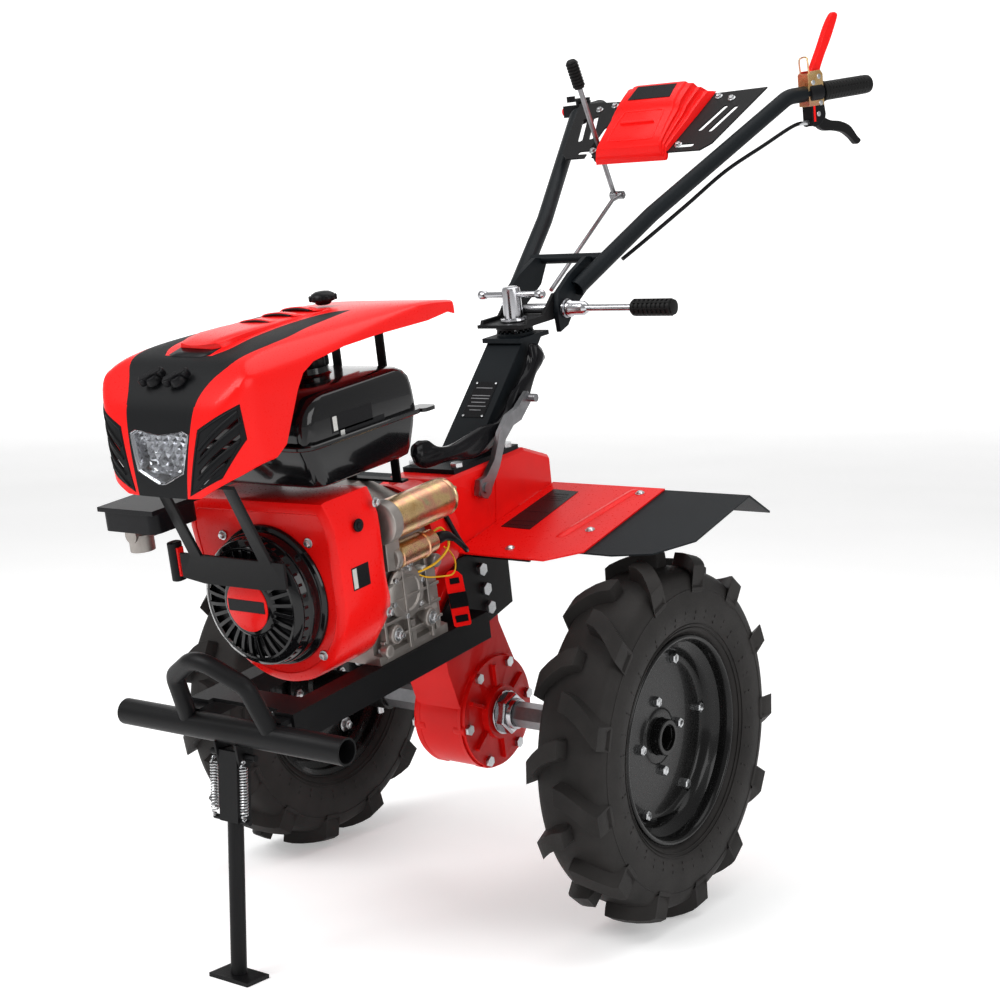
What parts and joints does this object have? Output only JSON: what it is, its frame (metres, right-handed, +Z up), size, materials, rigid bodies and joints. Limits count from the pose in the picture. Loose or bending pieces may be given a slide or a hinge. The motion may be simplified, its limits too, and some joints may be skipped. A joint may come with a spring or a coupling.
{
  "type": "walk-behind tiller",
  "caption": "Two-wheel walk-behind tractor with front engine and hood, geared axle, lugged tyres, fenders, folding front stand and swivelling handlebars.",
  "frame": {"origin": "on the floor, under the middle of the machine's length and width, standing on its wheels and front stand", "axes": "+X to the machine's left, -Y forward towards the hood, +Z up; the machine leans 10 degrees nose down on its stand"},
  "size_m": [0.9, 1.6245, 1.5552],
  "materials": {
    "red_paint": "glossy red enamel",
    "red_casting": "red paint over cast iron",
    "red_plastic": "glossy moulded red plastic",
    "grey_plastic": "fine matt dark grey plastic",
    "black_plastic": "matt black moulded plastic",
    "black_coat": "satin black powder coat",
    "grey_coat": "dark grey powder coat",
    "tank_black": "gloss black enamel",
    "tyre_rubber": "matt tyre rubber",
    "grip_rubber": "soft black rubber",
    "zinc": "bright zinc plate",
    "steel": "machined steel",
    "chrome": "polished chrome",
    "cast_aluminium": "as-cast aluminium",
    "starter_zinc": "yellow passivated zinc",
    "clear_lens": "clear polycarbonate"
  },
  "bodies": {
    "chassis": {"frame": "black_coat", "frame_bolts": "zinc", "final_case": "red_casting", "gearbox": "red_casting", "clutch_housing": "red_casting", "steering_column": "grey_coat", "cable_sleeve": "black_plastic", "front_bumper": "black_coat", "crankcase": "cast_aluminium", "cylinder_head": "cast_aluminium", "fan_shroud": "red_paint", "recoil_housing": "black_plastic", "starter_motor": "starter_zinc", "muffler": "steel", "air_cleaner": "black_plastic", "carburettor": "cast_aluminium", "fuel_tank": "tank_black", "hood_brackets": "black_coat", "hood_shell": "red_plastic", "hood_panel": "grey_plastic", "headlight_lens": "clear_lens", "headlight_reflector": "chrome", "side_grilles": "grey_plastic", "fender_plates": "red_paint", "fender_extensions": "grey_coat"},
    "wheels": {"tyre_left": "tyre_rubber", "tyre_right": "tyre_rubber", "rim_left": "black_coat", "rim_right": "black_coat", "wheel_hubs": "black_coat", "wheel_bolts": "zinc", "drive_axle": "steel", "final_gear": "steel"},
    "pinion": {"pinion_shaft": "steel"},
    "input_shaft": {"input_shaft": "steel"},
    "stand": {"stand_leg": "black_coat", "stand_springs": "zinc"},
    "crank": {"crankshaft": "steel"},
    "pull_grip": {"pull_handle": "black_plastic"},
    "fuel_cap": {"fuel_cap": "black_plastic"},
    "left_knob": {"hood_knob_left": "black_plastic"},
    "right_knob": {"hood_knob_right": "black_plastic"},
    "hood_knob": {"top_knob": "black_plastic"},
    "release_arm": {"release_arm": "steel"},
    "yoke": {"yoke": "black_coat"},
    "swivel_nut": {"swivel_nut": "chrome"},
    "clamp_handle": {"clamp_handle": "chrome"},
    "handlebars": {"handlebars": "grey_coat", "hand_grips": "grip_rubber", "lever_clamp": "black_plastic", "right_clamps": "black_plastic", "dash_plates": "black_coat", "dash_cover": "red_plastic", "control_cable": "black_plastic"},
    "clutch_lever": {"clutch_lever": "black_plastic"},
    "safety_lever": {"safety_lever": "red_plastic"},
    "shift_lever": {"shift_lever": "steel"},
    "shift_rod": {"shift_rod": "steel"},
    "stop_button": {"stop_button": "red_plastic"},
    "throttle_lever": {"throttle_lever": "black_plastic"}
  },
  "joints": [
    {"name": "wheel_spin", "type": "hinge", "parent": "chassis", "child": "wheels", "pos_m": [0, -0.0984, 0.2986], "axis": [1, 0, 0], "continuous": true},
    {"name": "pinion_spin", "type": "hinge", "parent": "chassis", "child": "pinion", "pos_m": [0, -0.1575, 0.37425], "axis": [1, 0, 0], "continuous": true},
    {"name": "stand_fold", "type": "hinge", "parent": "chassis", "child": "stand", "pos_m": [0, -0.68092, 0.33703], "axis": [1, 0, 0], "range_deg": [0, 95], "deforming": ["stand_springs"]},
    {"name": "crank_spin", "type": "hinge", "parent": "chassis", "child": "crank", "pos_m": [0, -0.45375, 0.58626], "axis": [0, 0.9848, 0.1736], "continuous": true},
    {"name": "input_shaft_spin", "type": "hinge", "parent": "chassis", "child": "input_shaft", "pos_m": [0, -0.15831, 0.63836], "axis": [0, 0.9848, 0.1736], "continuous": true},
    {"name": "starter_pull", "type": "slide", "parent": "chassis", "child": "pull_grip", "axis": [0, -0.9848, -0.1736], "range_m": [0, 0.45], "stiffness_N_per_m": 20, "springref_m": -0.2},
    {"name": "fuel_cap_turn", "type": "hinge", "parent": "chassis", "child": "fuel_cap", "pos_m": [0, -0.51019, 0.90633], "axis": [0, -0.1736, 0.9848], "range_deg": [0, 90]},
    {"name": "left_knob_turn", "type": "hinge", "parent": "chassis", "child": "left_knob", "pos_m": [0.024, -0.79277, 0.88493], "axis": [0, -0.7467, 0.6652], "range_deg": [0, 120]},
    {"name": "right_knob_turn", "type": "hinge", "parent": "chassis", "child": "right_knob", "pos_m": [-0.024, -0.79277, 0.88493], "axis": [0, -0.7467, 0.6652], "range_deg": [0, 120]},
    {"name": "hood_knob_turn", "type": "hinge", "parent": "chassis", "child": "hood_knob", "pos_m": [0, -0.46991, 0.99466], "axis": [0, -0.1736, 0.9848], "continuous": true},
    {"name": "release_arm_swing", "type": "hinge", "parent": "chassis", "child": "release_arm", "pos_m": [0.066, -0.16126, 0.68963], "axis": [1, 0, 0], "range_deg": [0, 4]},
    {"name": "handlebar_swivel", "type": "hinge", "parent": "chassis", "child": "yoke", "pos_m": [0, 0.03226, 0.9512], "axis": [0, -0.1736, 0.9848], "range_deg": [-30, 30]},
    {"name": "swivel_nut_turn", "type": "hinge", "parent": "yoke", "child": "swivel_nut", "pos_m": [0, 0.02184, 1.01029], "axis": [0, -0.1736, 0.9848], "range_deg": [0, 180]},
    {"name": "clamp_handle_turn", "type": "hinge", "parent": "yoke", "child": "clamp_handle", "pos_m": [0, 0.10016, 0.98653], "axis": [1, 0, 0], "continuous": true},
    {"name": "handlebar_height", "type": "hinge", "parent": "yoke", "child": "handlebars", "pos_m": [0, 0.10016, 0.98653], "axis": [1, 0, 0], "range_deg": [-20, 10]},
    {"name": "clutch_lever_squeeze", "type": "hinge", "parent": "handlebars", "child": "clutch_lever", "pos_m": [0.26265, 0.66571, 1.36046], "axis": [0.9455, -0.3206, -0.0565], "range_deg": [0, 18], "stiffness_Nm_per_rad": 2, "springref_deg": -17.19},
    {"name": "safety_lever_turn", "type": "hinge", "parent": "handlebars", "child": "safety_lever", "pos_m": [0.2646, 0.65912, 1.4305], "axis": [0.9455, -0.3206, -0.0565], "range_deg": [-40, 0], "stiffness_Nm_per_rad": 1, "springref_deg": 22.92},
    {"name": "shift_lever_tilt", "type": "hinge", "parent": "handlebars", "child": "shift_lever", "pos_m": [-0.099, 0.46845, 1.29101], "axis": [1, 0, 0], "range_deg": [-12, 12]},
    {"name": "shift_rod_follow", "type": "hinge", "parent": "shift_lever", "child": "shift_rod", "pos_m": [-0.099, 0.51809, 1.21355], "axis": [1, 0, 0], "range_deg": [-12, 12]},
    {"name": "stop_button_press", "type": "slide", "parent": "handlebars", "child": "stop_button", "axis": [1, 0, 0], "range_m": [0, 0.003], "stiffness_N_per_m": 300},
    {"name": "throttle_lever_turn", "type": "hinge", "parent": "handlebars", "child": "throttle_lever", "pos_m": [-0.26265, 0.65425, 1.42546], "axis": [0, -0.1736, 0.9848], "range_deg": [-40, 0]}
  ],
  "couplings": [
    {"joint": "pinion_spin", "follows": "wheel_spin", "ratio": -3},
    {"joint": "release_arm_swing", "follows": "clutch_lever_squeeze", "ratio": 0.22222},
    {"joint": "shift_rod_follow", "follows": "shift_lever_tilt", "ratio": -1}
  ]
}
